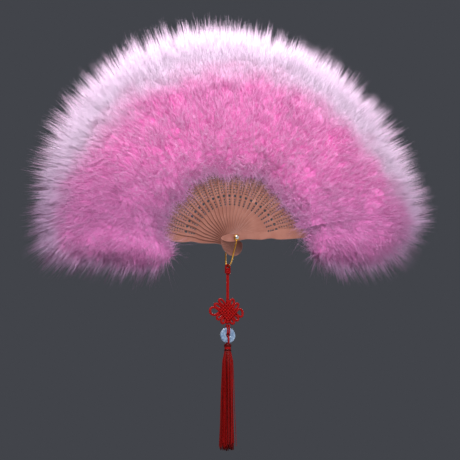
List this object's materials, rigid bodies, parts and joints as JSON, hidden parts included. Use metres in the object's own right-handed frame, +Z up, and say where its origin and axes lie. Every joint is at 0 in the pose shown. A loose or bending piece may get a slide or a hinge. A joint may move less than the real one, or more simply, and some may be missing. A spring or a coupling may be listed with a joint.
{
  "type": "feather folding fan",
  "caption": "Folding fan of pierced plastic sticks on one rivet, each with a fluffy plume, with a wire bail, knotted cord, stone disc and tassel.",
  "frame": {"origin": "on the rivet's axis, halfway through the stack of sticks, where the hand holds the fan", "axes": "+Z up through the middle of the open fan, +X towards the front guard, -Y out of the front face, along the rivet"},
  "size_m": [0.5374, 0.0922, 0.5448],
  "materials": {
    "stick_plastic": "semi-gloss moulded, peach",
    "guard_plastic": "semi-gloss moulded, peach",
    "feather_down": "fluffy pink down, paler at the tips",
    "rivet_metal": "bright",
    "bail_wire": "polished gold-coloured wire",
    "red_cord": "silky braided cord",
    "pale_stone": "polished, pale blue-white",
    "tassel_yarn": "silky strands"
  },
  "bodies": {
    "front_guard": {"guard_front": "guard_plastic", "plume_guard_front": "feather_down", "rivet": "rivet_metal"},
    "back_guard": {"guard_back": "guard_plastic", "plume_guard_back": "feather_down"},
    "stick_01": {"stave_01": "stick_plastic", "plume_01": "feather_down"},
    "stick_02": {"stave_02": "stick_plastic", "plume_02": "feather_down"},
    "stick_03": {"stave_03": "stick_plastic", "plume_03": "feather_down"},
    "stick_04": {"stave_04": "stick_plastic", "plume_04": "feather_down"},
    "stick_05": {"stave_05": "stick_plastic", "plume_05": "feather_down"},
    "stick_06": {"stave_06": "stick_plastic", "plume_06": "feather_down"},
    "stick_07": {"stave_07": "stick_plastic", "plume_07": "feather_down"},
    "stick_08": {"stave_08": "stick_plastic", "plume_08": "feather_down"},
    "stick_09": {"stave_09": "stick_plastic", "plume_09": "feather_down"},
    "stick_10": {"stave_10": "stick_plastic", "plume_10": "feather_down"},
    "stick_11": {"stave_11": "stick_plastic", "plume_11": "feather_down"},
    "stick_12": {"stave_12": "stick_plastic", "plume_12": "feather_down"},
    "stick_13": {"stave_13": "stick_plastic", "plume_13": "feather_down"},
    "stick_14": {"stave_14": "stick_plastic", "plume_14": "feather_down"},
    "stick_15": {"stave_15": "stick_plastic", "plume_15": "feather_down"},
    "stick_16": {"stave_16": "stick_plastic", "plume_16": "feather_down"},
    "stick_17": {"stave_17": "stick_plastic", "plume_17": "feather_down"},
    "stick_18": {"stave_18": "stick_plastic", "plume_18": "feather_down"},
    "stick_19": {"stave_19": "stick_plastic", "plume_19": "feather_down"},
    "stick_20": {"stave_20": "stick_plastic", "plume_20": "feather_down"},
    "stick_21": {"stave_21": "stick_plastic", "plume_21": "feather_down"},
    "stick_22": {"stave_22": "stick_plastic", "plume_22": "feather_down"},
    "stick_23": {"stave_23": "stick_plastic", "plume_23": "feather_down"},
    "bail": {"bail": "bail_wire"},
    "hanger": {"hanger_loop": "red_cord"},
    "lead_cord": {"lead_cord": "red_cord"},
    "knot": {"mystic_knot": "red_cord"},
    "tassel": {"ring_cord": "red_cord", "stone_disc": "pale_stone", "tassel_cap": "red_cord", "tassel_skirt": "tassel_yarn"}
  },
  "joints": [
    {"name": "fan_fold", "type": "hinge", "parent": "front_guard", "child": "back_guard", "pos_m": [0, 0, 0], "axis": [0, 1, 0], "range_deg": [0, 169.8], "deforming": ["plume_guard_front", "plume_guard_back"]},
    {"name": "stick_01_turn", "type": "hinge", "parent": "front_guard", "child": "stick_01", "pos_m": [0, 0, 0], "axis": [0, 1, 0], "range_deg": [0, 162.74], "deforming": ["plume_01"]},
    {"name": "stick_02_turn", "type": "hinge", "parent": "front_guard", "child": "stick_02", "pos_m": [0, 0, 0], "axis": [0, 1, 0], "range_deg": [0, 155.66], "deforming": ["plume_02"]},
    {"name": "stick_03_turn", "type": "hinge", "parent": "front_guard", "child": "stick_03", "pos_m": [0, 0, 0], "axis": [0, 1, 0], "range_deg": [0, 148.59], "deforming": ["plume_03"]},
    {"name": "stick_04_turn", "type": "hinge", "parent": "front_guard", "child": "stick_04", "pos_m": [0, 0, 0], "axis": [0, 1, 0], "range_deg": [0, 141.51], "deforming": ["plume_04"]},
    {"name": "stick_05_turn", "type": "hinge", "parent": "front_guard", "child": "stick_05", "pos_m": [0, 0, 0], "axis": [0, 1, 0], "range_deg": [0, 134.44], "deforming": ["plume_05"]},
    {"name": "stick_06_turn", "type": "hinge", "parent": "front_guard", "child": "stick_06", "pos_m": [0, 0, 0], "axis": [0, 1, 0], "range_deg": [0, 127.36], "deforming": ["plume_06"]},
    {"name": "stick_07_turn", "type": "hinge", "parent": "front_guard", "child": "stick_07", "pos_m": [0, 0, 0], "axis": [0, 1, 0], "range_deg": [0, 120.28], "deforming": ["plume_07"]},
    {"name": "stick_08_turn", "type": "hinge", "parent": "front_guard", "child": "stick_08", "pos_m": [0, 0, 0], "axis": [0, 1, 0], "range_deg": [0, 113.21], "deforming": ["plume_08"]},
    {"name": "stick_09_turn", "type": "hinge", "parent": "front_guard", "child": "stick_09", "pos_m": [0, 0, 0], "axis": [0, 1, 0], "range_deg": [0, 106.14], "deforming": ["plume_09"]},
    {"name": "stick_10_turn", "type": "hinge", "parent": "front_guard", "child": "stick_10", "pos_m": [0, 0, 0], "axis": [0, 1, 0], "range_deg": [0, 99.06], "deforming": ["plume_10"]},
    {"name": "stick_11_turn", "type": "hinge", "parent": "front_guard", "child": "stick_11", "pos_m": [0, 0, 0], "axis": [0, 1, 0], "range_deg": [0, 91.98], "deforming": ["plume_11"]},
    {"name": "stick_12_turn", "type": "hinge", "parent": "front_guard", "child": "stick_12", "pos_m": [0, 0, 0], "axis": [0, 1, 0], "range_deg": [0, 84.91], "deforming": ["plume_12"]},
    {"name": "stick_13_turn", "type": "hinge", "parent": "front_guard", "child": "stick_13", "pos_m": [0, 0, 0], "axis": [0, 1, 0], "range_deg": [0, 77.83], "deforming": ["plume_13"]},
    {"name": "stick_14_turn", "type": "hinge", "parent": "front_guard", "child": "stick_14", "pos_m": [0, 0, 0], "axis": [0, 1, 0], "range_deg": [0, 70.76], "deforming": ["plume_14"]},
    {"name": "stick_15_turn", "type": "hinge", "parent": "front_guard", "child": "stick_15", "pos_m": [0, 0, 0], "axis": [0, 1, 0], "range_deg": [0, 63.69], "deforming": ["plume_15"]},
    {"name": "stick_16_turn", "type": "hinge", "parent": "front_guard", "child": "stick_16", "pos_m": [0, 0, 0], "axis": [0, 1, 0], "range_deg": [0, 56.61], "deforming": ["plume_16"]},
    {"name": "stick_17_turn", "type": "hinge", "parent": "front_guard", "child": "stick_17", "pos_m": [0, 0, 0], "axis": [0, 1, 0], "range_deg": [0, 49.53], "deforming": ["plume_17"]},
    {"name": "stick_18_turn", "type": "hinge", "parent": "front_guard", "child": "stick_18", "pos_m": [0, 0, 0], "axis": [0, 1, 0], "range_deg": [0, 42.46], "deforming": ["plume_18"]},
    {"name": "stick_19_turn", "type": "hinge", "parent": "front_guard", "child": "stick_19", "pos_m": [0, 0, 0], "axis": [0, 1, 0], "range_deg": [0, 35.38], "deforming": ["plume_19"]},
    {"name": "stick_20_turn", "type": "hinge", "parent": "front_guard", "child": "stick_20", "pos_m": [0, 0, 0], "axis": [0, 1, 0], "range_deg": [0, 28.31], "deforming": ["plume_20"]},
    {"name": "stick_21_turn", "type": "hinge", "parent": "front_guard", "child": "stick_21", "pos_m": [0, 0, 0], "axis": [0, 1, 0], "range_deg": [0, 21.23], "deforming": ["plume_21"]},
    {"name": "stick_22_turn", "type": "hinge", "parent": "front_guard", "child": "stick_22", "pos_m": [0, 0, 0], "axis": [0, 1, 0], "range_deg": [0, 14.16], "deforming": ["plume_22"]},
    {"name": "stick_23_turn", "type": "hinge", "parent": "front_guard", "child": "stick_23", "pos_m": [0, 0, 0], "axis": [0, 1, 0], "range_deg": [0, 7.08], "deforming": ["plume_23"]},
    {"name": "bail_swing", "type": "hinge", "parent": "front_guard", "child": "bail", "pos_m": [0, 0, 0], "axis": [0, 1, 0], "range_deg": [-33, 33]},
    {"name": "hanger_swing", "type": "hinge", "parent": "bail", "child": "hanger", "pos_m": [0, 0.0135, -0.0314], "axis": [0, 1, 0], "range_deg": [-45, 45]},
    {"name": "cord_sway", "type": "hinge", "parent": "hanger", "child": "lead_cord", "pos_m": [0, 0.0135, -0.0426], "axis": [1, 0, 0], "range_deg": [-75, 75]},
    {"name": "knot_twist", "type": "hinge", "parent": "lead_cord", "child": "knot", "pos_m": [0, 0.0135, -0.07375], "axis": [0, 0, 1], "range_deg": [-90, 90]},
    {"name": "tassel_swing", "type": "hinge", "parent": "knot", "child": "tassel", "pos_m": [0, 0.0135, -0.10565], "axis": [1, 0, 0], "range_deg": [-45, 45]}
  ],
  "couplings": [
    {"joint": "stick_01_turn", "follows": "fan_fold", "ratio": 0.95833},
    {"joint": "stick_02_turn", "follows": "fan_fold", "ratio": 0.91667},
    {"joint": "stick_03_turn", "follows": "fan_fold", "ratio": 0.875},
    {"joint": "stick_04_turn", "follows": "fan_fold", "ratio": 0.83333},
    {"joint": "stick_05_turn", "follows": "fan_fold", "ratio": 0.79167},
    {"joint": "stick_06_turn", "follows": "fan_fold", "ratio": 0.75},
    {"joint": "stick_07_turn", "follows": "fan_fold", "ratio": 0.70833},
    {"joint": "stick_08_turn", "follows": "fan_fold", "ratio": 0.66667},
    {"joint": "stick_09_turn", "follows": "fan_fold", "ratio": 0.625},
    {"joint": "stick_10_turn", "follows": "fan_fold", "ratio": 0.58333},
    {"joint": "stick_11_turn", "follows": "fan_fold", "ratio": 0.54167},
    {"joint": "stick_12_turn", "follows": "fan_fold", "ratio": 0.5},
    {"joint": "stick_13_turn", "follows": "fan_fold", "ratio": 0.45833},
    {"joint": "stick_14_turn", "follows": "fan_fold", "ratio": 0.41667},
    {"joint": "stick_15_turn", "follows": "fan_fold", "ratio": 0.375},
    {"joint": "stick_16_turn", "follows": "fan_fold", "ratio": 0.33333},
    {"joint": "stick_17_turn", "follows": "fan_fold", "ratio": 0.29167},
    {"joint": "stick_18_turn", "follows": "fan_fold", "ratio": 0.25},
    {"joint": "stick_19_turn", "follows": "fan_fold", "ratio": 0.20833},
    {"joint": "stick_20_turn", "follows": "fan_fold", "ratio": 0.16667},
    {"joint": "stick_21_turn", "follows": "fan_fold", "ratio": 0.125},
    {"joint": "stick_22_turn", "follows": "fan_fold", "ratio": 0.083333},
    {"joint": "stick_23_turn", "follows": "fan_fold", "ratio": 0.041667}
  ]
}
